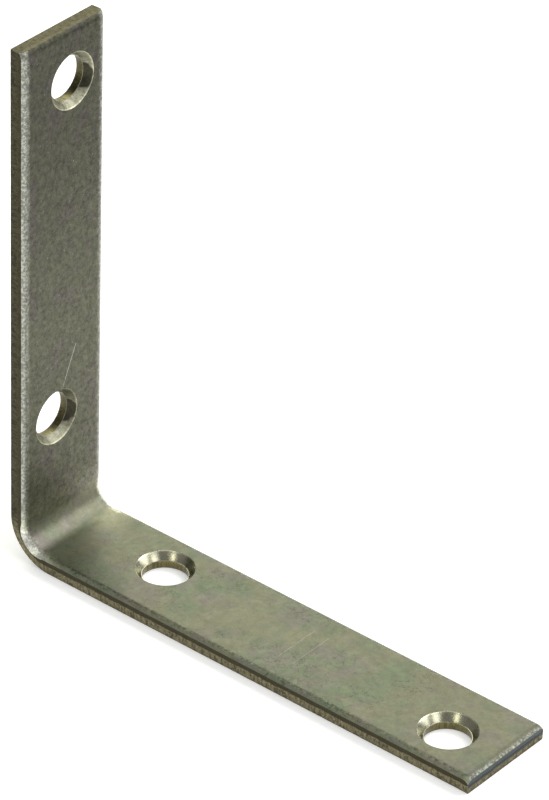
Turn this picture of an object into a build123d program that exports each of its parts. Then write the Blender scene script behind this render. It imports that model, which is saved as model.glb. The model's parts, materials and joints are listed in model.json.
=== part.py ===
from build123d import *
import os

# A corner brace: one steel strip, cut to length, punched and countersunk while it was flat, then
# folded once through a right angle. The countersinks open on the inside of the fold.
#
# Millimetres. X runs along the foot leg away from the fold, Y across the strip, Z up the upright
# leg. While it is being built, X = 0 is the upright's outer face and Z = 0 the foot's outer face.
# The finished part is moved so that its origin lies under the middle of its bounding box.

# The folded strip
foot_length = 127.0             # upright's outer face to the foot's end
upright_length = 127.0          # foot's outer face to the upright's end
strip_width = 25.4
strip_thickness = 3.8
inner_bend_radius = 5.2
outer_bend_radius = 11.0        # larger than inner radius + thickness: the fold thins the strip

# Blanking pulls the edges of the inner faces down into an elliptical roll
roll_width = 1.55               # across the face
roll_depth = 0.7                # down the sheared side

# Screw holes, two in each leg
hole_bend_distance = 32.2       # heel to the hole nearer the fold
hole_end_distance = 13.0        # end of the leg to the hole nearer it
punch_shift = 0.55              # all four holes sit this far towards the upright's end
stagger = 2.25                  # each hole's step sideways from the row, by turns near and far
upright_row_offset = 0.2        # the upright's row lies this far off the middle of the strip
rim_diameter = 13.1             # countersink at the inner face
land_diameter = 10.2            # straight wall below the countersink
land_height = 2.05              # outer face to the ledge where the countersink ends
breakout_depth = 0.6            # the punch tore the last of the wall outwards
breakout_flare = 0.3            # growth of the radius at the outer face

overcut = 1.0                   # how far a cutter runs past the metal


def folded_strip():
    """The bare strip, folded, with square edges."""
    outline = Polyline(
        (0, 0),
        (foot_length, 0),
        (foot_length, strip_thickness),
        (strip_thickness, strip_thickness),
        (strip_thickness, upright_length),
        (0, upright_length),
        close=True,
    )
    strip = extrude(make_face(Plane.XZ * outline), strip_width / 2, both=True)
    crook = (strip_thickness, 0, strip_thickness)
    inside_edge = strip.edges().filter_by(Axis.Y).sort_by_distance(crook)[0]
    strip = fillet(inside_edge, inner_bend_radius)
    heel_edge = strip.edges().filter_by(Axis.Y).sort_by_distance((0, 0, 0))[0]
    return fillet(heel_edge, outer_bend_radius)


def roll_section(plane):
    """What the roll takes off a square edge: local X runs inwards over the face, Y into the metal."""
    corner = Rectangle(roll_width + overcut, roll_depth + overcut, align=(Align.MAX, Align.MAX))
    left_in_place = Ellipse(roll_width, roll_depth)
    return plane * Pos(roll_width, roll_depth) * (corner - left_in_place)


def side_roll():
    """The cutter for the long edge on the -Y side, down the upright, round the fold and out."""
    inner = strip_thickness
    side = -strip_width / 2
    fold = strip_thickness + inner_bend_radius
    top = (inner, side, upright_length + overcut)
    bend_top = (inner, side, fold)
    bend_foot = (fold, side, inner)
    down = Line(top, bend_top)
    bend = TangentArc(bend_top, bend_foot, tangent=(0, 0, -1))
    out = Line(bend_foot, (foot_length + overcut, side, inner))
    section_plane = Plane(origin=top, x_dir=(0, 1, 0), z_dir=(0, 0, 1))
    return sweep(roll_section(section_plane), path=Wire([down, bend, out]))


def end_rolls():
    """The cutters for the inner edge at the end of each leg."""
    foot_end = Plane(origin=(foot_length, 0, strip_thickness), x_dir=(-1, 0, 0), z_dir=(0, -1, 0))
    upright_end = Plane(origin=(strip_thickness, 0, upright_length), x_dir=(0, 0, -1), z_dir=(0, 1, 0))
    reach = strip_width / 2 + overcut
    return [extrude(roll_section(plane), reach, both=True) for plane in (foot_end, upright_end)]


def screw_hole():
    """What one screw hole takes out: local Z = 0 is the leg's outer face, +Z its inner side."""
    land_radius = land_diameter / 2
    rim_radius = rim_diameter / 2
    exit_radius = land_radius + breakout_flare
    half_section = Polyline(
        (0, -overcut),
        (exit_radius, -overcut),
        (exit_radius, 0),
        (land_radius, breakout_depth),
        (land_radius, land_height),
        (rim_radius, strip_thickness),
        (rim_radius, strip_thickness + overcut),
        (0, strip_thickness + overcut),
        close=True,
    )
    return revolve(make_face(Plane.XZ * half_section), Axis.Z)


def screw_holes():
    """All four, stepping from side to side along the strip."""
    foot_inner = Pos(hole_bend_distance - punch_shift, stagger, 0)
    foot_outer = Pos(foot_length - hole_end_distance - punch_shift, -stagger, 0)
    upright_lower_z = hole_bend_distance + punch_shift
    upright_upper_z = upright_length - hole_end_distance + punch_shift
    upright_lower = Plane((0, upright_row_offset - stagger, upright_lower_z), z_dir=(1, 0, 0))
    upright_upper = Plane((0, upright_row_offset + stagger, upright_upper_z), z_dir=(1, 0, 0))
    return [place * screw_hole() for place in (foot_inner, foot_outer, upright_lower, upright_upper)]


def corner_brace():
    near_side_roll = side_roll()
    far_side_roll = mirror(near_side_roll, about=Plane.XZ)
    brace = folded_strip() - [near_side_roll, far_side_roll] - end_rolls() - screw_holes()
    return Pos(-foot_length / 2, 0, 0) * brace


os.makedirs("parts", exist_ok=True)
part = corner_brace().solid()
part.label = "corner_brace"
export_step(part, "parts/corner_brace.step")
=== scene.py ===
# %% [markdown]
# # A corner brace in zinc-plated steel
#
# A corner brace is one strip of mild steel. A press shears it to length, punches and countersinks
# four screw holes while it is flat, and folds it once. Then it is zinc plated in a barrel with
# hundreds of others, which leaves it satin, mottled and a little scratched.
#
# The packed model already holds the true solid. It is loaded first and kept as a fixed frame: the
# length of the legs, the width of the strip and the places of the screw holes are read from it.
# Sizes that it doesn't list, such as the thickness, are written below in millimetres.

# %% Load the packed model
import json
import math
from collections import namedtuple

import bpy
import numpy as np
from mathutils import Matrix, Vector


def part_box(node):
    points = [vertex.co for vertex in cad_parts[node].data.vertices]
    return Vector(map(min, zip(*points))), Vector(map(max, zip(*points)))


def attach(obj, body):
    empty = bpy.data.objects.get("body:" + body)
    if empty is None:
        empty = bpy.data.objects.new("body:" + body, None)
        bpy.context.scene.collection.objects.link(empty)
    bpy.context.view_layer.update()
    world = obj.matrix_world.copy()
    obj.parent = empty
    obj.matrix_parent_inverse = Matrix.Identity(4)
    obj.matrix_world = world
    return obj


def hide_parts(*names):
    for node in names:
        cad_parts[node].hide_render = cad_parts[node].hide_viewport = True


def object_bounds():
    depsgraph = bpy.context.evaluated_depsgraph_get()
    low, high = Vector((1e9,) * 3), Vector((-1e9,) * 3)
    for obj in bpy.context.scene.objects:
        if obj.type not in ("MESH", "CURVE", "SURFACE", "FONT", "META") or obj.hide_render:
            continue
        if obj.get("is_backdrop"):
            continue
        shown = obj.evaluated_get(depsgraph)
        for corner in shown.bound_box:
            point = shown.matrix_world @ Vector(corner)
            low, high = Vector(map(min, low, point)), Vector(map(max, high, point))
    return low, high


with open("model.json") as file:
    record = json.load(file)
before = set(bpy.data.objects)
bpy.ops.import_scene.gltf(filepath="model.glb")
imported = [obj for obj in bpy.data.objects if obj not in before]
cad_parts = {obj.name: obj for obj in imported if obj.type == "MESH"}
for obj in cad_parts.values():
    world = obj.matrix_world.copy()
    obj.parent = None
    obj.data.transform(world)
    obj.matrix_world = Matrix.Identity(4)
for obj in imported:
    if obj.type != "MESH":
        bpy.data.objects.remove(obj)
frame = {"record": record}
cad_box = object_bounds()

MM = 0.001
low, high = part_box("corner_brace")
leg = high.x - low.x
half_width = (high.y - low.y) / 2
screw_holes = [mount for mount in frame["record"]["mounts"] if mount["kind"] == "bore"]
print("leg", round(leg / MM, 1), "mm, half width", round(half_width / MM, 2), "mm")
print("screw holes:", [mount["name"] for mount in screw_holes])

# %% [markdown]
# ## The camera
#
# A long lens from a little over a metre away keeps the two legs almost parallel. The camera looks
# down into the angle of the brace and is tipped by under two degrees about its own line of sight,
# so its frame is built from three directions rather than from a plain look-at.

# %% Camera
CAMERA_AZIMUTH = math.radians(38.98)
CAMERA_ELEVATION = math.radians(33.60)
CAMERA_ROLL = math.radians(1.81)
CAMERA_DISTANCE = 1.10446
CAMERA_TARGET = Vector((-0.00045, -0.00081, 0.06298))
CAMERA_LENS = 240.17
SENSOR_WIDTH = 36.0
NEAREST_SEEN = 0.05


def direction(azimuth, elevation):
    """The unit vector from the object towards an azimuth (0 is -Y, 90 is +X) and an elevation."""
    flat = math.cos(elevation)
    return Vector((math.sin(azimuth) * flat, -math.cos(azimuth) * flat, math.sin(elevation)))


def place_camera():
    back = direction(CAMERA_AZIMUTH, CAMERA_ELEVATION)
    level = Vector((0, 0, 1)).cross(back).normalized()
    above = back.cross(level)
    right = level * math.cos(CAMERA_ROLL) + above * math.sin(CAMERA_ROLL)
    up = back.cross(right)
    camera = bpy.data.objects.new("camera", bpy.data.cameras.new("camera"))
    camera.data.lens = CAMERA_LENS
    camera.data.sensor_width = SENSOR_WIDTH
    camera.data.clip_start = NEAREST_SEEN
    camera.matrix_world = Matrix((right, up, back)).transposed().to_4x4()
    camera.location = CAMERA_TARGET + back * CAMERA_DISTANCE
    bpy.context.scene.collection.objects.link(camera)
    bpy.context.scene.camera = camera
    return camera


camera = place_camera()
print("camera stands at", [round(value, 3) for value in camera.location])

# %% [markdown]
# ## The floor and the sky
#
# Metal shows what surrounds it, so the light matters as much as the finish. A pale floor and a pale
# sky fill the brace from below and all round. The paper glows a little, so that it stays white
# under the brace.

# %% Floor and sky
FLOOR_SIZE = 8.0
FLOOR_COLOUR = (0.90, 0.90, 0.90)
FLOOR_ROUGHNESS = 0.9
FLOOR_GLOW = 0.35
SKY_STRENGTH = 0.32
WHITE = (1.0, 1.0, 1.0)


def lay_floor():
    half = FLOOR_SIZE / 2
    corners = [(-half, -half, 0), (half, -half, 0), (half, half, 0), (-half, half, 0)]
    mesh = bpy.data.meshes.new("floor")
    mesh.from_pydata(corners, [], [(0, 1, 2, 3)])
    paper = bpy.data.materials.new("white_paper")
    paper.use_nodes = True
    sockets = paper.node_tree.nodes["Principled BSDF"].inputs
    sockets["Base Color"].default_value = (*FLOOR_COLOUR, 1)
    sockets["Roughness"].default_value = FLOOR_ROUGHNESS
    sockets["Emission Color"].default_value = (*WHITE, 1)
    sockets["Emission Strength"].default_value = FLOOR_GLOW
    mesh.materials.append(paper)
    floor = bpy.data.objects.new("floor", mesh)
    bpy.context.scene.collection.objects.link(floor)
    floor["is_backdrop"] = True


def light_sky():
    sky = bpy.data.worlds.new("sky")
    sky.use_nodes = True
    sockets = sky.node_tree.nodes["Background"].inputs
    sockets["Color"].default_value = (*WHITE, 1)
    sockets["Strength"].default_value = SKY_STRENGTH
    bpy.context.scene.world = sky


lay_floor()
light_sky()
bpy.context.scene.view_settings.view_transform = "Standard"
print("floor", FLOOR_SIZE, "m square, glow", FLOOR_GLOW, "and sky", SKY_STRENGTH)

# %% [markdown]
# ## The soft boxes
#
# Each soft box is there for what mirrors it: back_left for the foot's inner face and the top end,
# back_right for the fold and the lower half of the upright's countersinks, high_back for the foot's
# rolled end, overhead for the paper, right for the near corner of the fold, and right and front for
# the two lights in each of the foot's countersinks. A soft box is large, so its reflection has no
# hard edge.

# %% Soft boxes
WARM = (1.0, 1.0, 0.86)
BOX_DISTANCE = 1.6
SoftBox = namedtuple("SoftBox", "name azimuth elevation size watts colour")     # degrees, metres
SOFT_BOXES = [
    SoftBox("back_left", -141, 34, 1.0, 12.8, WARM),
    SoftBox("back_right", 142, 34, 0.9, 9.0, WHITE),
    SoftBox("high_back", 172, 52, 0.6, 5.0, WHITE),
    SoftBox("overhead", 40, 86, 1.0, 4.0, WHITE),
    SoftBox("right", 92, 38, 0.6, 4.0, WHITE),
    SoftBox("front", 3, 43, 0.35, 2.2, WARM),
]


def hang(soft_box):
    """A square area light that faces the middle of the brace."""
    towards = direction(math.radians(soft_box.azimuth), math.radians(soft_box.elevation))
    lamp = bpy.data.lights.new(soft_box.name, "AREA")
    lamp.shape = "SQUARE"
    lamp.color = soft_box.colour
    lamp.size = soft_box.size
    lamp.energy = soft_box.watts
    hung = bpy.data.objects.new(soft_box.name, lamp)
    hung.location = CAMERA_TARGET + towards * BOX_DISTANCE
    hung.rotation_euler = towards.to_track_quat("Z", "Y").to_euler()
    bpy.context.scene.collection.objects.link(hung)


for soft_box in SOFT_BOXES:
    hang(soft_box)
print("soft boxes:", [soft_box.name for soft_box in SOFT_BOXES])

# %% [markdown]
# ## The path of the strip
#
# The strip is described along its length by stations. Each station has a pair of points in the XZ
# plane, one on the inner face and one on the outer face. On the legs they are square across the
# strip. Round the fold they run on two arcs that don't share a centre, because folding stretches
# the outside and thins the steel. The upright is the foot with X and Z swapped.

# %% Stations along the strip
THICKNESS = 3.8 * MM
INNER_RADIUS = 5.2 * MM
OUTER_RADIUS = 11.0 * MM
INNER_CENTRE = THICKNESS + INNER_RADIUS     # from the outer faces to the inner arc's centre
ROLL_WIDTH = 1.55 * MM
ROLL_STEPS = 8
LEG_STEPS = 170
FOLD_STEPS = 30

# fold is 0 on the legs and rises to 1 in the middle of the fold
Station = namedtuple("Station", "inner outer end_distance fold")


def half_path():
    """Stations from a leg's end to the middle of the fold, close together over the rolled end."""
    stations = []
    for step in range(ROLL_STEPS):
        distance = ROLL_WIDTH * step / ROLL_STEPS
        reach = leg - distance
        stations.append(Station((reach, THICKNESS), (reach, 0.0), distance, 0.0))
    straight = leg - ROLL_WIDTH
    for step in range(LEG_STEPS):
        share = step / LEG_STEPS
        inner = straight + (INNER_CENTRE - straight) * share
        outer = straight + (OUTER_RADIUS - straight) * share
        stations.append(Station((inner, THICKNESS), (outer, 0.0), leg - inner, 0.0))
    for step in range(FOLD_STEPS // 2 + 1):
        angle = math.pi / 2 * step / FOLD_STEPS
        sine, cosine = math.sin(angle), math.cos(angle)
        inner = (INNER_CENTRE - INNER_RADIUS * sine, INNER_CENTRE - INNER_RADIUS * cosine)
        outer = (OUTER_RADIUS * (1 - sine), OUTER_RADIUS * (1 - cosine))
        stations.append(Station(inner, outer, leg, math.sin(2 * angle)))
    return stations


def stood_up(station):
    """A station of the foot, turned into one of the upright."""
    return station._replace(inner=station.inner[::-1], outer=station.outer[::-1])


foot_half = half_path()
upright_half = [stood_up(station) for station in foot_half[:-1]]
path = foot_half + upright_half[::-1]
fold_thickness = math.dist(foot_half[-1].inner, foot_half[-1].outer)
print(len(path), "stations from the foot's end to the upright's end")
print("thickness in the middle of the fold:", round(fold_thickness / MM, 2), "mm")

# %% [markdown]
# ## The rolled and sheared edges
#
# A shear leaves three marks, from the inner face outwards: the edge is drawn down into a soft roll,
# then comes a smooth burnished band where the blade slid, then a rough band where the steel tore.
# The roll is a depth below the face, so one formula also rounds the strip's corners, where two
# rolls meet. Round the fold the roll is deeper and wider. The torn band leans inwards by under a
# tenth of a millimetre and is uneven, with a fixed seed, and its outer corner is worn back as far
# again.

# %% Cross-sections
ROLL_DEPTH = 0.70 * MM
FOLD_ROLL_DEPTH = 1.55 * MM
FOLD_ROLL_GROWTH = 0.55             # how much wider the roll is in the middle of the fold
MIDDLE_STEPS = 12
WALL_STEPS = 10
BURNISH_SHARE = 0.36                # of the sheared wall's height
TEAR_LEAN = 0.07 * MM
TEAR_ROUGHNESS = 0.035 * MM
BURR_ROUND = 0.07 * MM
chance = np.random.default_rng(12)


def point_at(station, across, depth):
    """The point at a station, that far across the strip and that deep below the inner face."""
    inner_x, inner_z = station.inner
    outer_x, outer_z = station.outer
    share = depth / THICKNESS
    x = inner_x + (outer_x - inner_x) * share
    z = inner_z + (outer_z - inner_z) * share
    return Vector((low.x + x, across, low.z + z))


def roll_width(station):
    return ROLL_WIDTH * (1 + FOLD_ROLL_GROWTH * station.fold)


def roll_depth(station, side_distance):
    """How deep the roll lies below the inner face, at a distance from the strip's side."""
    deepest = ROLL_DEPTH + (FOLD_ROLL_DEPTH - ROLL_DEPTH) * station.fold
    side = max(0.0, 1 - side_distance / roll_width(station))
    end = max(0.0, 1 - station.end_distance / ROLL_WIDTH)
    return deepest * (side * side + end * end)


def places_across(station):
    """Places across the inner face, from -Y to +Y: close together over each roll."""
    width = roll_width(station)
    rolled = [half_width - width * step / ROLL_STEPS for step in range(ROLL_STEPS)]
    flat = half_width - width
    middle = [-flat + 2 * flat * step / MIDDLE_STEPS for step in range(MIDDLE_STEPS + 1)]
    return [-place for place in rolled] + middle + rolled[::-1]


def wall_inset(share):
    """How far the torn band stands back from the burnished one, at a share of the wall's height."""
    torn = max(0.0, (share - BURNISH_SHARE) / (1 - BURNISH_SHARE))
    if torn == 0.0:
        return 0.0
    corner = BURR_ROUND if share >= 1 else 0.0
    return TEAR_LEAN * torn + TEAR_ROUGHNESS * chance.random() + corner


def side_wall(station, side):
    """Points down one sheared side, from below the roll to the outer face."""
    edge_depth = roll_depth(station, 0.0)
    wall = []
    for step in range(1, WALL_STEPS + 1):
        share = step / WALL_STEPS
        depth = edge_depth + (THICKNESS - edge_depth) * share
        wall.append(point_at(station, side * (half_width - wall_inset(share)), depth))
    return wall


def section(station):
    """The closed ring of points round the strip at one station."""
    places = places_across(station)
    inner = [point_at(station, place, roll_depth(station, half_width - abs(place))) for place in places]
    right_wall = side_wall(station, 1)
    left_wall = side_wall(station, -1)
    outer = [point_at(station, place, THICKNESS) for place in places[1:-1]]
    return inner + right_wall + outer[::-1] + left_wall[::-1]


rings = [section(station) for station in path]
column_count = len(places_across(path[0]))
ring_size = len(rings[0])
print(ring_size, "points round the strip,", column_count, "of them across the inner face")

# %% [markdown]
# ## The strip as a mesh
#
# Neighbouring rings are joined by quads. Each end is closed with a grid of quads from the inner
# edge to the outer edge, torn like the sides. The faces carry one of two finishes, plated face or
# sheared edge. The third finish, punched wall, comes in with the holes.

# %% Strip mesh
FACE_FINISH, SHEARED_FINISH, PUNCHED_FINISH = range(3)


def end_cap(points, ring_start, inwards):
    """Faces that close one end. Adds the points inside the end face, moved a little inwards."""
    ring = list(range(ring_start, ring_start + ring_size))
    right_wall = ring[column_count:column_count + WALL_STEPS]
    left_wall = ring[ring_size - WALL_STEPS:][::-1]
    outer_row = [left_wall[-1]] + ring[column_count + WALL_STEPS:ring_size - WALL_STEPS][::-1]
    outer_row.append(right_wall[-1])
    rows = [ring[:column_count]]
    for step in range(WALL_STEPS - 1):
        share = (step + 1) / WALL_STEPS
        row = [left_wall[step]]
        for column in range(1, column_count - 1):
            top, bottom = points[rows[0][column]], points[outer_row[column]]
            points.append(top.lerp(bottom, share) + inwards * wall_inset(share))
            row.append(len(points) - 1)
        rows.append(row + [right_wall[step]])
    rows.append(outer_row)
    faces = []
    for upper, lower in zip(rows, rows[1:]):
        for column in range(column_count - 1):
            faces.append((upper[column], upper[column + 1], lower[column + 1], lower[column]))
    return faces


def strip_mesh():
    points = [point.copy() for ring in rings for point in ring]
    faces, finishes = [], []
    wall_slots = set(range(column_count - 1, column_count - 1 + WALL_STEPS))
    wall_slots |= set(range(ring_size - WALL_STEPS, ring_size))
    for index in range(len(rings) - 1):
        here, there = index * ring_size, (index + 1) * ring_size
        for slot in range(ring_size):
            after = (slot + 1) % ring_size
            faces.append((here + slot, here + after, there + after, there + slot))
            finishes.append(SHEARED_FINISH if slot in wall_slots else FACE_FINISH)
    caps = end_cap(points, 0, Vector((-1, 0, 0)))
    caps += end_cap(points, (len(rings) - 1) * ring_size, Vector((0, 0, -1)))
    mesh = bpy.data.meshes.new("strip")
    mesh.from_pydata(points, [], faces + caps)
    mesh.polygons.foreach_set("material_index", finishes + [SHEARED_FINISH] * len(caps))
    return mesh


strip = bpy.data.objects.new("strip", strip_mesh())
bpy.context.scene.collection.objects.link(strip)
print("strip:", len(strip.data.vertices), "points,", len(strip.data.polygons), "faces")

# %% [markdown]
# ## Turning faces outwards
#
# The rings and the end grids were wound without regard to which side is out. On a closed mesh
# Blender can work that out. A closed mesh has no open edge, and a volume above zero means that its
# faces point outwards.

# %% Outward normals
import bmesh


def turn_outwards(mesh):
    """Turns the faces and gives back the volume and the number of open edges."""
    work = bmesh.new()
    work.from_mesh(mesh)
    bmesh.ops.recalc_face_normals(work, faces=work.faces)
    volume = work.calc_volume(signed=True)
    open_edges = sum(1 for edge in work.edges if not edge.is_manifold)
    work.to_mesh(mesh)
    work.free()
    return volume, open_edges


strip_volume, strip_open_edges = turn_outwards(strip.data)
print("strip volume", round(strip_volume / MM**3), "mm3, open edges", strip_open_edges)

# %% [markdown]
# ## A small language for shader maths
#
# Node trees are easier to read as formulas. One class wraps an output socket and gives it the usual
# operators, each of which adds a Math node.

# %% Sockets with operators


class Wire:
    """One output socket of a shader tree. The operators work with numbers and other wires."""

    def __init__(self, finish, socket):
        self.finish = finish
        self.socket = socket

    def math(self, operation, *terms):
        return self.finish.node("ShaderNodeMath", {"operation": operation}, dict(enumerate(terms)))

    def __add__(self, other):
        return self.math("ADD", self, other)

    def __sub__(self, other):
        return self.math("SUBTRACT", self, other)

    def __mul__(self, other):
        return self.math("MULTIPLY", self, other)

    def __truediv__(self, other):
        return self.math("DIVIDE", self, other)

    def __rsub__(self, other):
        return self.math("SUBTRACT", other, self)

    def __rtruediv__(self, other):
        return self.math("DIVIDE", other, self)

    __radd__ = __add__
    __rmul__ = __mul__

    def at_least(self, other):
        return self.math("MAXIMUM", self, other)

    def at_most(self, other):
        return self.math("MINIMUM", self, other)

    def root(self):
        return self.math("SQRT", self)

    def unsigned(self):
        return self.math("ABSOLUTE", self)

    def step(self, start, end):
        """0 at start and 1 at end, smooth between; start may be the larger."""
        settings = {"interpolation_type": "SMOOTHSTEP"}
        return self.finish.node("ShaderNodeMapRange", settings, {0: self, 1: start, 2: end})


print("operators:", [name for name in vars(Wire) if name.startswith("__r")], "and their plain forms")

# %% [markdown]
# ## A finish and its nodes
#
# A finish is a material with its tree. All three finishes here are metal. Every node comes from one
# method, which takes the node's type, its settings and the values or links of its sockets. Patterns
# are noise on Object coordinates, so they stay on the brace when it moves.

# %% Finishes
Noise = namedtuple("Noise", "scale detail roughness")   # scale in waves per metre


class Finish:
    """A metal material and its tree."""

    def __init__(self, name):
        self.material = bpy.data.materials.new(name)
        self.material.use_nodes = True
        self.tree = self.material.node_tree
        self.shader = self.tree.nodes["Principled BSDF"]
        self.place = self.node("ShaderNodeTexCoord", output="Object")
        self.x, self.y, self.z = self.split(self.place)
        facing = self.node("ShaderNodeTexCoord", output="Normal")
        self.facing_x, self.facing_y, self.facing_z = self.split(facing)
        self.feed("Metallic", 1.0)

    def node(self, kind, settings=None, sockets=None, output=0):
        """Adds a node: its settings first, then the values or links of its sockets."""
        made = self.tree.nodes.new(kind)
        for name, value in (settings or {}).items():
            setattr(made, name, value)
        for key, value in (sockets or {}).items():
            if isinstance(value, Wire):
                self.tree.links.new(value.socket, made.inputs[key])
            else:
                made.inputs[key].default_value = value
        return Wire(self, made.outputs[output])

    def feed(self, name, value):
        """Sets or links one of the shader's own sockets."""
        if isinstance(value, Wire):
            self.tree.links.new(value.socket, self.shader.inputs[name])
        else:
            self.shader.inputs[name].default_value = value

    def split(self, vector):
        """The three numbers of a vector."""
        outputs = self.node("ShaderNodeSeparateXYZ", sockets={0: vector}).socket.node.outputs
        return [Wire(self, outputs[axis]) for axis in range(3)]

    def noise(self, pattern, place=None):
        """An uneven pattern between 0 and 1, about 0.5 on average."""
        sockets = {"Vector": place or self.place, "Scale": pattern.scale}
        sockets.update({"Detail": pattern.detail, "Roughness": pattern.roughness})
        return self.node("ShaderNodeTexNoise", sockets=sockets)

    def mix(self, share, first, second, blend_type="MIX"):
        settings = {"data_type": "RGBA", "blend_type": blend_type}
        return self.node("ShaderNodeMix", settings, {0: share, 6: first, 7: second}, output=2)

    def scaled(self, colour, amount):
        """A colour times a number that varies."""
        grey = self.node("ShaderNodeCombineXYZ", sockets={0: amount, 1: amount, 2: amount})
        return self.mix(1.0, colour, grey, "MULTIPLY")

    def vector_math(self, operation, sockets, output=0):
        return self.node("ShaderNodeVectorMath", {"operation": operation}, sockets, output)

    def stretched(self, factors):
        return self.node("ShaderNodeMapping", sockets={"Vector": self.place, "Scale": factors})

    def emboss(self, height, strength, distance):
        """Bumps the surface by a height."""
        sockets = {"Strength": strength, "Distance": distance, "Height": height}
        self.feed("Normal", self.node("ShaderNodeBump", sockets=sockets))


def linear_share(share):
    """One channel of a screen colour, 0 to 1, made linear with the curve that screens use."""
    if share <= 0.04045:
        return share / 12.92
    return ((share + 0.055) / 1.055) ** 2.4


def linear(red, green, blue):
    """A screen colour of 0 to 255 as the four linear numbers that a shader takes."""
    return (*[linear_share(channel / 255) for channel in (red, green, blue)], 1)


print("a mid olive:", [round(channel, 3) for channel in linear(128, 129, 110)])

# %% [markdown]
# ## Where a point lies on the brace
#
# The finishes need to know how deep a point is below the inner face, how far along its leg it is,
# and on which leg. The inner face is the boundary of a rounded corner, so its depth is one formula
# for both legs and the fold: the distance from the fold's centre line, less the inner radius.

# %% Shared measures
UPRIGHT_STARTS = (6 * MM, 12 * MM)


def depth_share(finish):
    """0 on the inner face and 1 on the outer face, everywhere along the strip."""
    along_foot = finish.x - low.x
    along_upright = finish.z - low.z

    def corner_distance(centre):
        foot = (centre - along_foot).at_least(0)
        upright = (centre - along_upright).at_least(0)
        return (foot * foot + upright * upright).root()

    below_inner = corner_distance(INNER_CENTRE) - INNER_RADIUS
    above_outer = OUTER_RADIUS - corner_distance(OUTER_RADIUS)
    return below_inner / (below_inner + above_outer)


def along(finish):
    """Distance along the leg from the heel."""
    return (finish.x - low.x).at_least(finish.z - low.z)


def upright_share(finish):
    """0 on the foot and 1 on the upright, changing at the fold's upper end."""
    return (finish.z - low.z).step(*UPRIGHT_STARTS)


def by_leg(finish, amounts):
    """The first of two amounts on the foot, and the second on the upright."""
    on_foot, on_upright = amounts
    return on_foot + upright_share(finish) * (on_upright - on_foot)


def drawn_place(finish, through):
    """A place that draws a pattern out through the thickness: the smaller the share, the longer."""
    sockets = {0: along(finish), 1: finish.y, 2: depth_share(finish) * (THICKNESS * through)}
    return finish.node("ShaderNodeCombineXYZ", sockets=sockets)


print("the fold ends", round(INNER_CENTRE / MM, 1), "mm from the heel on the inner face")

# %% [markdown]
# ## Clouds and grain
#
# Barrel plating is a satin grey with an olive cast. Up close it is clouded with faint green and
# lilac patches and has a fine grain, which is livelier on the upright than on the foot.

# %% Clouds and grain
OLIVE = linear(97, 97, 82)
GREEN_CAST = linear(90, 96, 80)
LILAC_CAST = linear(98, 92, 90)

GREEN_CLOUDS = Noise(110, 3.0, 0.6)
GREEN_RANGE = (0.42, 0.62)
GREEN_AMOUNTS = (1.0, 0.2)          # on the foot, on the upright
LILAC_CLOUDS = Noise(150, 4.0, 0.6)
LILAC_RANGE = (0.48, 0.66)
LILAC_AMOUNT = 0.6

FINE_GRAIN = Noise(2600, 3.0, 0.7)
COARSE_GRAIN = Noise(900, 3.0, 0.7)
COARSE_SHARE = 0.6
GRAIN_AMOUNTS = (1.0, 3.2)


def zinc_clouds(finish):
    """The plating's colour before wear: olive, clouded with green and lilac."""
    green = finish.noise(GREEN_CLOUDS).step(*GREEN_RANGE) * by_leg(finish, GREEN_AMOUNTS)
    lilac = finish.noise(LILAC_CLOUDS).step(*LILAC_RANGE) * LILAC_AMOUNT
    return finish.mix(lilac, finish.mix(green, OLIVE, GREEN_CAST), LILAC_CAST)


def zinc_grain(finish):
    """Fine uneven brightness, about 1 on average."""
    fine = finish.noise(FINE_GRAIN) * (1 - COARSE_SHARE)
    coarse = finish.noise(COARSE_GRAIN) * COARSE_SHARE
    return 1 + (fine + coarse - 0.5) * by_leg(finish, GRAIN_AMOUNTS)


print("fine grain of about", round(1 / (FINE_GRAIN.scale * MM), 2), "mm")

# %% [markdown]
# ## Scratches and cracks
#
# Three scratches show the bright metal: a long slanting one above the upright's lower screw hole,
# and two fine ones across the foot. The foot's plating also has fine dark cracks in patches. They
# are where a broad noise crosses its middle value, which gives thin, winding lines.

# %% Scratches and cracks
LONG_SCRATCH_GAP = 7 * MM           # from the hole's centre up to its lower end
LONG_SCRATCH_RISE = 9 * MM
LONG_SCRATCH_LEAN = 4 * MM
LONG_SCRATCH_EDGE = 0.16 * MM       # from its middle line
CROSS_SCRATCH_PLACES = (7 * MM, 11 * MM)    # past the middle of the foot
CROSS_SCRATCH_REACH = 6 * MM
CROSS_SCRATCH_EDGE = 0.08 * MM
SCRATCH_CORE = 0.3                  # share of the way to the edge that is fully scratched
SCRATCH_BREAKS = Noise(1100, 2.0, 0.6)
SCRATCH_BREAK_RANGE = (0.30, 0.50)

CRACK_LINES = Noise(260, 3.0, 0.6)
CRACK_LINE_RANGE = (0.016, 0.004)
CRACK_PATCHES = Noise(95, 2.0, 0.5)
CRACK_PATCH_RANGE = (0.48, 0.60)
CRACK_AMOUNT = 0.35


def scratch(finish, start, end, edge):
    """1 in the middle of a straight scratch between two points, and 0 from its edge outwards."""
    length = (end - start).length
    way = (end - start) / length
    offset = finish.vector_math("SUBTRACT", {0: finish.place, 1: start})
    travel = finish.vector_math("DOT_PRODUCT", {0: offset, 1: way}, output=1)
    nearest = finish.vector_math("SCALE", {0: way, 3: travel.at_least(0).at_most(length)})
    gap = finish.vector_math("DISTANCE", {0: offset, 1: nearest}, output=1)
    return gap.step(edge, edge * SCRATCH_CORE)


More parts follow.
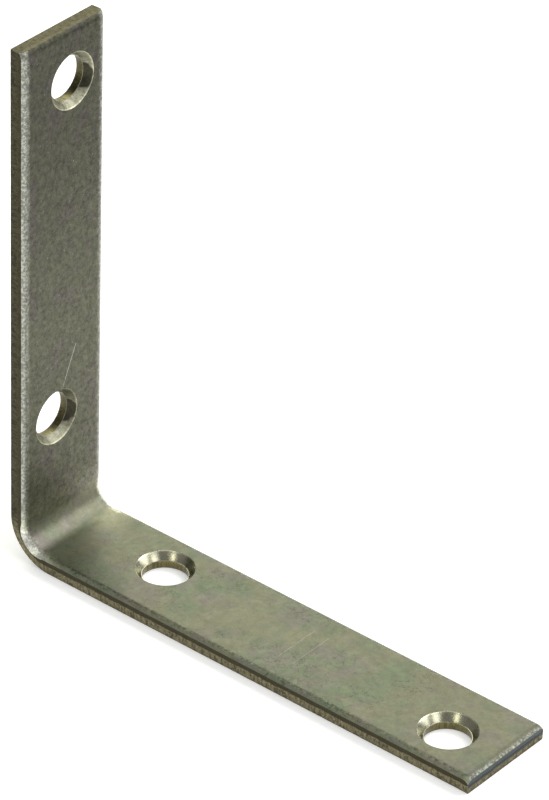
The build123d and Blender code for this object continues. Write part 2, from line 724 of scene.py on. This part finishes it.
def all_scratches(finish):
    """All three scratches, broken up along their length."""
    start = Vector((low.x + THICKNESS, 0, lower_hole_height + LONG_SCRATCH_GAP))
    end = start + Vector((0, LONG_SCRATCH_LEAN, LONG_SCRATCH_RISE))
    marks = scratch(finish, start, end, LONG_SCRATCH_EDGE)
    across = Vector((0, CROSS_SCRATCH_REACH, 0))
    for past_middle in CROSS_SCRATCH_PLACES:
        middle = Vector((low.x + leg / 2 + past_middle, 0, low.z + THICKNESS))
        marks = marks.at_least(scratch(finish, middle - across, middle + across, CROSS_SCRATCH_EDGE))
    return marks * finish.noise(SCRATCH_BREAKS).step(*SCRATCH_BREAK_RANGE)


def cracks(finish):
    """Fine winding lines, in patches, on the foot only."""
    lines = (finish.noise(CRACK_LINES) - 0.5).unsigned().step(*CRACK_LINE_RANGE)
    patches = finish.noise(CRACK_PATCHES).step(*CRACK_PATCH_RANGE)
    return lines * patches * (1 - upright_share(finish)) * CRACK_AMOUNT


lower_hole_height = min(hole["pos_m"][2] for hole in screw_holes if hole["axis"][0])
print("the long scratch starts", round((lower_hole_height + LONG_SCRATCH_GAP) / MM, 1), "mm up")

# %% [markdown]
# ## Zinc plate
#
# The plate is the clouds and the grain, with scratches, painted highlights and painted shade on
# top. It has painted light at the fold and painted shade towards the top of the upright. Its rolled
# edges carry painted highlights: along the upright and round the fold a ragged bright line, along
# the foot only a lighter grey, and at the foot's end a fine glint. The corners of the fold carry
# the brightest painted highlight. This painted light and shade is on the inner face only. Dark pits
# and bright specks are scattered over both faces.

# %% Plated faces
# The bright colour of the scratches, of the specks and of the painted highlights on the edges
WEAR_AND_HIGHLIGHT = linear(206, 208, 199)
PIT = linear(40, 40, 35)

INNER_SIDE = (0.4, 0.6)             # shares of the thickness, where the inner side's painted light and shade stop
FOLD_STARTS = (13 * MM, 7 * MM)     # from the heel
RAGGED = Noise(1500, 3.0, 0.8)
RAGGED_WIDTH = 2.6 * MM

# Painted light near the fold, and painted shade towards the top of the upright
FOLD_PAINTED_LIGHT_RANGE = (17 * MM, 8 * MM)     # from the heel
FOLD_PAINTED_LIGHTS = (0.7, 0.95)            # on the foot, on the upright
TOP_PAINTED_SHADE_RANGE = (45 * MM, 115 * MM)    # above the foot's outer face
TOP_PAINTED_SHADE = 0.42

# Bands of painted highlight beside the strip's edges, as distances where each one starts and is full
# Painted highlight that lightens the foot's rolled edges
FOOT_ROLL_HIGHLIGHT_BAND = (1.35 * MM, 0.35 * MM)
FOOT_ROLL_HIGHLIGHT = 1.5
# Painted highlight along the rolled edges of the upright and round the fold
EDGE_HIGHLIGHT_BAND = (2.3 * MM, 0.2 * MM)
EDGE_HIGHLIGHT_AMOUNT = 0.8
EDGE_HIGHLIGHT_SPECKLE = 0.65
# Painted glint along the rolled edge of the foot's end
END_GLINT_BAND = (0.9 * MM, 0.3 * MM)
END_GLINT_AMOUNT = 0.35
# Painted highlight at the corners of the fold
CORNER_HIGHLIGHT_BAND = (2.2 * MM, 0.6 * MM)
CORNER_HIGHLIGHT = 1.2

SPECKLE = Noise(1700, 3.0, 0.7)
SPECKLE_RANGE = (0.42, 0.62)
PITS = Noise(1600, 3.0, 0.6)
PIT_RANGE = (0.66, 0.74)
PIT_AMOUNTS = (0.4, 0.8)
GLINTS = Noise(2300, 2.0, 0.5)
GLINT_STRETCH = (1.0, 1.3, 0.9)
GLINT_RANGE = (0.70, 0.78)
GLINT_AMOUNTS = (0.12, 0.45)
SCRATCH_AMOUNTS = (0.18, 0.50)

PLATE_ROUGHNESS = 0.40
PLATE_SHEEN = Noise(420, 3.0, 0.6)
PLATE_SHEEN_SPREAD = 0.16
EDGE_HIGHLIGHT_SMOOTHER = 0.10
PLATE_TOOTH = Noise(1500, 4.0, 0.7)
PLATE_SWELL = Noise(160, 2.0, 0.5)
SWELL_HEIGHT = 2.2
PIT_DEPTH = 0.6
PLATE_BUMP = 0.35
PLATE_BUMP_HEIGHT = 0.05 * MM


def plated_face():
    finish = Finish("zinc_plate")
    upright = upright_share(finish)
    inner = 1 - depth_share(finish).step(*INNER_SIDE)
    fold = along(finish).step(*FOLD_STARTS)
    side = half_width - finish.y.unsigned() + (finish.noise(RAGGED) - 0.5) * RAGGED_WIDTH

    # Painted light on the inner face near the fold, and painted shade towards the upright's top
    painted_light_and_shade = along(finish).step(*FOLD_PAINTED_LIGHT_RANGE) * by_leg(finish, FOLD_PAINTED_LIGHTS)
    painted_light_and_shade = painted_light_and_shade - (finish.z - low.z).step(*TOP_PAINTED_SHADE_RANGE) * TOP_PAINTED_SHADE
    # Painted highlight on the foot's rolled edges
    rolled = side.step(*FOOT_ROLL_HIGHLIGHT_BAND) * inner * (1 - upright.at_least(fold))
    colour = finish.scaled(zinc_clouds(finish), zinc_grain(finish))
    colour = finish.scaled(colour, (1 + painted_light_and_shade * inner) * (1 + rolled * FOOT_ROLL_HIGHLIGHT))

    pits = finish.noise(PITS).step(*PIT_RANGE)
    dark = (pits * by_leg(finish, PIT_AMOUNTS)).at_least(cracks(finish))
    colour = finish.mix(dark, colour, PIT)

    speckle = finish.noise(SPECKLE).step(*SPECKLE_RANGE)
    # Painted highlight: a ragged bright line along the rolled edges of the upright and the fold
    edge_highlight = side.step(*EDGE_HIGHLIGHT_BAND) * inner * upright.at_least(fold)
    edge_highlight = edge_highlight * ((1 - EDGE_HIGHLIGHT_SPECKLE) + speckle * EDGE_HIGHLIGHT_SPECKLE)
    # Painted glint along the rolled edge of the foot's end
    end_glint = (leg - along(finish)).step(*END_GLINT_BAND) * inner * (1 - upright) * speckle
    glints = finish.noise(GLINTS, finish.stretched(GLINT_STRETCH)).step(*GLINT_RANGE)
    # Painted highlights and glints, with the real wear of the scratches, mixed towards the bright colour
    wear_and_highlights = (edge_highlight * EDGE_HIGHLIGHT_AMOUNT).at_least(end_glint * END_GLINT_AMOUNT)
    wear_and_highlights = wear_and_highlights.at_least(glints * by_leg(finish, GLINT_AMOUNTS))
    wear_and_highlights = wear_and_highlights.at_least(all_scratches(finish) * by_leg(finish, SCRATCH_AMOUNTS))
    colour = finish.mix(wear_and_highlights, colour, WEAR_AND_HIGHLIGHT)

    # Painted highlight: the corners of the fold are lightened
    corner = side.step(*CORNER_HIGHLIGHT_BAND) * fold * inner
    finish.feed("Base Color", finish.scaled(colour, 1 + corner * CORNER_HIGHLIGHT))
    sheen = finish.noise(PLATE_SHEEN) * PLATE_SHEEN_SPREAD
    finish.feed("Roughness", PLATE_ROUGHNESS + sheen - edge_highlight * EDGE_HIGHLIGHT_SMOOTHER)
    height = finish.noise(PLATE_TOOTH) + finish.noise(PLATE_SWELL) * SWELL_HEIGHT - pits * PIT_DEPTH
    finish.emboss(height, PLATE_BUMP, PLATE_BUMP_HEIGHT)
    return finish.material


zinc_plate = plated_face()
print("zinc plate:", len(zinc_plate.node_tree.nodes), "nodes")

# %% [markdown]
# ## Sheared edges
#
# The burnished band is smooth and dark, with faint lines drawn by the blade. The torn band is
# rough, browner and lighter, with bright specks, and turns dark again at the outer edge. The line
# between the two wanders a little. On the upright the torn band carries painted shade, which makes
# it darker than on the foot. The two ends have colours of their own: the upright's is olive, and
# the foot's is a cool grey over the upper two thirds of its thickness.

# %% Sheared sides and ends
BURNISH = linear(60, 57, 41)
TORN = linear(142, 135, 106)
TORN_DARK = linear(88, 83, 62)
TORN_BRIGHT = linear(178, 173, 152)
TOP_END = linear(90, 86, 66)
FOOT_END = linear(66, 72, 74)

# Ranges of depth are shares of the thickness, from the inner face
WANDER = Noise(420, 3.0, 0.7)
WANDER_WIDTH = 0.20
TEAR_RANGE = (0.44, 0.50)
TEAR_STREAKS = Noise(1500, 4.0, 0.8)
TEAR_STREAK_DRAW = 0.35
TEAR_STREAK_RANGE = (0.38, 0.60)
CHIPS = Noise(2400, 2.0, 0.6)
CHIP_DRAW = 0.7
CHIP_RANGE = (0.60, 0.72)
CHIP_AMOUNT = 0.7
LIP_RANGE = (0.88, 0.99)
LIP_AMOUNT = 0.85
# Painted shade on the upright's torn band
UPRIGHT_PAINTED_SHADE = 0.66

TOP_END_RANGE = (leg - 1.6 * MM, leg - 0.6 * MM)    # above the foot's outer face
FOOT_END_RANGE = (0.58, 0.74)
END_FACING = (0.6, 0.8)             # how squarely a face looks along its leg

BURNISH_ROUGHNESS = 0.32
TEAR_ROUGHER = 0.26
BURNISH_LINES = 0.25
TEAR_LINES = 1.6
EDGE_BUMP = 0.6
EDGE_BUMP_HEIGHT = 0.12 * MM


def torn_steel(finish, depth, streaks):
    """The torn band's colour: streaked, chipped and dark at the outer edge."""
    colour = finish.mix(streaks.step(*TEAR_STREAK_RANGE), TORN_DARK, TORN)
    chips = finish.noise(CHIPS, drawn_place(finish, CHIP_DRAW)).step(*CHIP_RANGE)
    colour = finish.mix(chips * CHIP_AMOUNT, colour, TORN_BRIGHT)
    return finish.mix(depth.step(*LIP_RANGE) * LIP_AMOUNT, colour, TORN_DARK)


def sheared_edge():
    finish = Finish("sheared_steel")
    depth = depth_share(finish) + (finish.noise(WANDER) - 0.5) * WANDER_WIDTH
    torn = depth.step(*TEAR_RANGE)
    streaks = finish.noise(TEAR_STREAKS, drawn_place(finish, TEAR_STREAK_DRAW))
    burnished = finish.scaled(BURNISH, zinc_grain(finish))
    colour = finish.mix(torn, burnished, torn_steel(finish, depth, streaks))
    # Painted shade darkens the torn band on the upright
    colour = finish.scaled(colour, 1 - upright_share(finish) * torn * UPRIGHT_PAINTED_SHADE)

    top_end = (finish.z - low.z).step(*TOP_END_RANGE) * finish.facing_z.step(*END_FACING)
    colour = finish.mix(top_end, colour, finish.scaled(TOP_END, zinc_grain(finish)))
    foot_end = finish.facing_x.step(*END_FACING) * (1 - depth.step(*FOOT_END_RANGE))
    colour = finish.mix(foot_end, colour, finish.scaled(FOOT_END, zinc_grain(finish)))

    finish.feed("Base Color", colour)
    finish.feed("Roughness", BURNISH_ROUGHNESS + torn.at_least(top_end) * TEAR_ROUGHER)
    height = streaks * (BURNISH_LINES + torn * TEAR_LINES) + finish.noise(FINE_GRAIN) * torn
    finish.emboss(height, EDGE_BUMP, EDGE_BUMP_HEIGHT)
    return finish.material


sheared_steel = sheared_edge()
print("sheared steel:", len(sheared_steel.node_tree.nodes), "nodes")

# %% [markdown]
# ## Punched and countersunk walls
#
# The countersink is pressed, not drilled, so its cone is smoother and brighter than the plate round
# it; on the foot the cone is painted lighter still, and its rim carries a painted highlight line.
# The straight wall below it is drawn into streaks by the punch. In the upright's holes one side of
# the wall has a painted dark reflection, set by which way the wall faces.

# %% Hole walls
CONE = linear(134, 133, 115)
LAND = linear(114, 108, 74)
STREAK_DARK = linear(62, 58, 38)
PAINTED_DARK_REFLECTION = linear(34, 31, 22)

LAND_RANGE = (0.44, 0.50)           # shares of the thickness, where the straight wall starts
RIM_HIGHLIGHT_RANGE = (0.03, 0.07)            # shares of the thickness, where the rim's painted highlight line stops
# Painted light makes the foot's cones lighter than the upright's
CONE_TONE_AND_PAINTED_LIGHT = (1.25, 1.0)       # on the foot, on the upright
CONE_SWIRLS = Noise(420, 2.0, 0.6)
CONE_SWIRL_DRAW = 0.05
CONE_SWIRL_AMOUNT = 0.5
PUNCH_STREAKS = Noise(1500, 3.0, 0.7)
PUNCH_STREAK_DRAW = 0.1
PUNCH_STREAK_RANGE = (0.45, 0.62)
PUNCH_STREAK_AMOUNT = 0.6

# A painted dark reflection on one side of the upright's countersinks
DARK_REFLECTION_TILT = 0.25
DARK_REFLECTION_RAGGEDNESS = 0.10
DARK_REFLECTION_RANGE = (-0.66, -0.70)
DARK_REFLECTION_AMOUNT = 0.85
DARK_REFLECTION_LOST_ON_LAND = 0.5

WALL_ROUGHNESS = (0.20, 0.40)       # on the foot, on the upright
WALL_SHEEN = Noise(900, 3.0, 0.6)
WALL_SHEEN_SPREAD = 0.12
WALL_TOOTH = Noise(1600, 3.0, 0.7)
WALL_BUMP = 0.3
WALL_BUMP_HEIGHT = 0.06 * MM


def punched_wall():
    finish = Finish("punched_steel")
    land = depth_share(finish).step(*LAND_RANGE)
    streaks = finish.noise(PUNCH_STREAKS, drawn_place(finish, PUNCH_STREAK_DRAW))
    swirls = finish.noise(CONE_SWIRLS, drawn_place(finish, CONE_SWIRL_DRAW))
    # Painted highlight: a light line at the rim
    rim_highlight = 1 - depth_share(finish).step(*RIM_HIGHLIGHT_RANGE)
    cone = finish.scaled(CONE, by_leg(finish, CONE_TONE_AND_PAINTED_LIGHT) + swirls * CONE_SWIRL_AMOUNT + rim_highlight)
    streaked = streaks.step(*PUNCH_STREAK_RANGE) * PUNCH_STREAK_AMOUNT
    colour = finish.mix(land, cone, finish.mix(streaked, LAND, STREAK_DARK))

    # Painted dark reflection, placed by which way the wall faces
    leaning = finish.facing_y - finish.facing_z * DARK_REFLECTION_TILT + (swirls - 0.5) * DARK_REFLECTION_RAGGEDNESS
    dark_reflection = leaning.step(*DARK_REFLECTION_RANGE) * upright_share(finish) * (1 - land * DARK_REFLECTION_LOST_ON_LAND)
    colour = finish.mix(dark_reflection * DARK_REFLECTION_AMOUNT, finish.scaled(colour, zinc_grain(finish)), PAINTED_DARK_REFLECTION)

    finish.feed("Base Color", colour)
    sheen = finish.noise(WALL_SHEEN) * WALL_SHEEN_SPREAD
    finish.feed("Roughness", by_leg(finish, WALL_ROUGHNESS) + sheen)
    finish.emboss(finish.noise(WALL_TOOTH) + streaks * land, WALL_BUMP, WALL_BUMP_HEIGHT)
    return finish.material


punched_steel = punched_wall()
finishes = [zinc_plate, sheared_steel, punched_steel]
for finish_material in finishes:
    strip.data.materials.append(finish_material)
print("finishes:", [material.name for material in finishes])

# %% [markdown]
# ## One countersink, as a cutter
#
# The four holes are alike, so only one is drawn. Its outline, from the outer face up, is the flare
# where the punch broke out, the straight wall, a narrow ledge, the cone and a fine break at the
# rim. Turned about its axis it is the solid that each hole takes away.

# %% Hole cutter
LAND_RADIUS = screw_holes[0]["dims"]["r_mm"] * MM
RIM_RADIUS = 6.55 * MM
LAND_HEIGHT = 2.05 * MM
FLARE = 0.30 * MM
FLARE_DEPTH = 0.60 * MM
LEDGE = 0.10 * MM
LEDGE_RISE = LEDGE / 4
RIM_BREAK = 0.14 * MM
RIM_BREAK_DEPTH = 0.10 * MM
OVERCUT = 0.6 * MM                  # how far the cutter runs past the metal
HOLE_STEPS = 96


def hole_outline():
    """(radius, height above the outer face) from bottom to top."""
    flare_slope = FLARE / FLARE_DEPTH
    rim_slope = RIM_BREAK / RIM_BREAK_DEPTH
    return [
        (LAND_RADIUS + FLARE + flare_slope * OVERCUT, -OVERCUT),
        (LAND_RADIUS, FLARE_DEPTH),
        (LAND_RADIUS, LAND_HEIGHT),
        (LAND_RADIUS + LEDGE, LAND_HEIGHT + LEDGE_RISE),
        (RIM_RADIUS - RIM_BREAK / 2, THICKNESS - RIM_BREAK_DEPTH),
        (RIM_RADIUS + RIM_BREAK / 2 + rim_slope * OVERCUT, THICKNESS + OVERCUT),
    ]


def lathe(outline, steps):
    """A closed solid of revolution about Z."""
    points, faces = [], []
    for radius, height in outline:
        for step in range(steps):
            angle = 2 * math.pi * step / steps
            points.append((radius * math.cos(angle), radius * math.sin(angle), height))
    for level in range(len(outline) - 1):
        for step in range(steps):
            here, after = level * steps + step, level * steps + (step + 1) % steps
            faces.append((here, after, after + steps, here + steps))
    faces.append(tuple(range(steps))[::-1])
    faces.append(tuple(range((len(outline) - 1) * steps, len(outline) * steps)))
    mesh = bpy.data.meshes.new("hole_cutter")
    mesh.from_pydata(points, [], faces)
    return mesh


cutter = bpy.data.objects.new("hole_cutter", lathe(hole_outline(), HOLE_STEPS))
cutter.data.materials.append(finishes[PUNCHED_FINISH])
bpy.context.scene.collection.objects.link(cutter)
print("cutter:", len(cutter.data.polygons), "faces")

# %% [markdown]
# ## Four holes with Geometry Nodes
#
# The model's record says where each screw goes and which way it points. Those four places become
# four points with a direction. Geometry Nodes put a cutter on each, turn it to the direction and
# take all of them out of the strip in one step, so a change to the cutter changes every hole.

# %% Places of the holes


def hole_places():
    """One point per screw, on the leg's outer face, with the way the screw comes out as axis."""
    bases, axes = [], []
    for mount in screw_holes:
        axis = Vector(mount["axis"])
        centre = Vector(mount["pos_m"])
        height = (centre - low).dot(axis)
        bases.append(centre - axis * height)
        axes.append(axis)
    mesh = bpy.data.meshes.new("hole_places")
    mesh.from_pydata(bases, [], [])
    stored = mesh.attributes.new("axis", "FLOAT_VECTOR", "POINT")
    stored.data.foreach_set("vector", [value for axis in axes for value in axis])
    return mesh


places = bpy.data.objects.new("hole_places", hole_places())
bpy.context.scene.collection.objects.link(places)
print("holes at", [[round(value / MM, 2) for value in vertex.co] for vertex in places.data.vertices])

# %% [markdown]
# ## The tree that punches the strip
#
# The cutters carry their own finish, and the boolean hands it on to the walls that they leave. The
# tree picks those walls by that finish at its end. A modifier's input is set by its socket's
# identifier, which is looked up by name.

# %% The punching tree


def punching_tree():
    tree = bpy.data.node_groups.new("punch_holes", "GeometryNodeTree")
    for name, kind in (
        ("Strip", "NodeSocketGeometry"),
        ("Cutter", "NodeSocketObject"),
        ("Places", "NodeSocketObject"),
        ("Wall Finish", "NodeSocketMaterial"),
    ):
        tree.interface.new_socket(name, in_out="INPUT", socket_type=kind)
    tree.interface.new_socket("Geometry", in_out="OUTPUT", socket_type="NodeSocketGeometry")

    def add(kind, settings=None, sockets=None):
        made = tree.nodes.new(kind)
        for name, value in (settings or {}).items():
            setattr(made, name, value)
        for key, value in (sockets or {}).items():
            if isinstance(value, bpy.types.NodeSocket):
                tree.links.new(value, made.inputs[key])
            else:
                made.inputs[key].default_value = value
        return made

    given = add("NodeGroupInput").outputs
    cutter_shape = add("GeometryNodeObjectInfo", sockets={"Object": given["Cutter"]})
    points = add("GeometryNodeObjectInfo", sockets={"Object": given["Places"]})
    axis = add("GeometryNodeInputNamedAttribute", {"data_type": "FLOAT_VECTOR"}, {"Name": "axis"})
    turn = add("FunctionNodeAlignRotationToVector", {"axis": "Z"}, {"Vector": axis.outputs["Attribute"]})
    cutters = add("GeometryNodeInstanceOnPoints", sockets={
        "Points": points.outputs["Geometry"],
        "Instance": cutter_shape.outputs["Geometry"],
        "Rotation": turn.outputs["Rotation"],
    })
    loose = add("GeometryNodeRealizeInstances", sockets={"Geometry": cutters.outputs["Instances"]})
    punched = add("GeometryNodeMeshBoolean", {"operation": "DIFFERENCE", "solver": "EXACT"}, {
        "Mesh 1": given["Strip"],
        "Mesh 2": loose.outputs["Geometry"],
    })
    real = add("GeometryNodeRealizeInstances", sockets={"Geometry": punched.outputs["Mesh"]})
    walls = add("GeometryNodeMaterialSelection", sockets={"Material": given["Wall Finish"]})
    finished = add("GeometryNodeSetMaterial", sockets={
        "Geometry": real.outputs["Geometry"],
        "Selection": walls.outputs["Selection"],
        "Material": given["Wall Finish"],
    })
    add("NodeGroupOutput", sockets={"Geometry": finished.outputs["Geometry"]})
    return tree


def set_input(modifier, name, value):
    """Sets a modifier's input by its socket's identifier."""
    for item in modifier.node_group.interface.items_tree:
        if item.item_type == "SOCKET" and item.in_out == "INPUT" and item.name == name:
            modifier[item.identifier] = value


punching = strip.modifiers.new("punch_holes", "NODES")
punching.node_group = punching_tree()
set_input(punching, "Cutter", cutter)
set_input(punching, "Places", places)
set_input(punching, "Wall Finish", finishes[PUNCHED_FINISH])
print("tree:", len(punching.node_group.nodes), "nodes")

# %% [markdown]
# ## The finished piece
#
# The evaluated result is copied to a plain mesh. Shading is smooth over the rolls and the fold, and
# sharp wherever two faces meet at more than a set angle, which keeps the rims and the sheared
# corners crisp. The piece stands in for the CAD node and rides on its body.

# %% Brace
SHARP_ANGLE = math.radians(30)


def plain_copy(source, name):
    evaluated = source.evaluated_get(bpy.context.evaluated_depsgraph_get())
    mesh = bpy.data.meshes.new_from_object(evaluated)
    mesh.name = name
    mesh.shade_smooth()
    mesh.set_sharp_from_angle(angle=SHARP_ANGLE)
    made = bpy.data.objects.new(name, mesh)
    bpy.context.scene.collection.objects.link(made)
    return made


brace = plain_copy(strip, "folded_brace")
for helper in (strip, cutter, places):
    bpy.data.objects.remove(helper)
triangles = sum(len(face.vertices) - 2 for face in brace.data.polygons)
print("brace:", triangles, "triangles, finishes", [slot.name for slot in brace.data.materials])

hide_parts("corner_brace")
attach(brace, "root")

# %% [markdown]
# ## Sizes and the end
#
# Both boxes, the CAD model's and the visual model's, are printed in millimetres.

# %% Print the two boxes
visual_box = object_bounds()
for name, (lowest, highest) in (("cad", cad_box), ("visual", visual_box)):
    print(name, "box in mm:", [round(value / MM, 2) for value in (*lowest, *highest)])
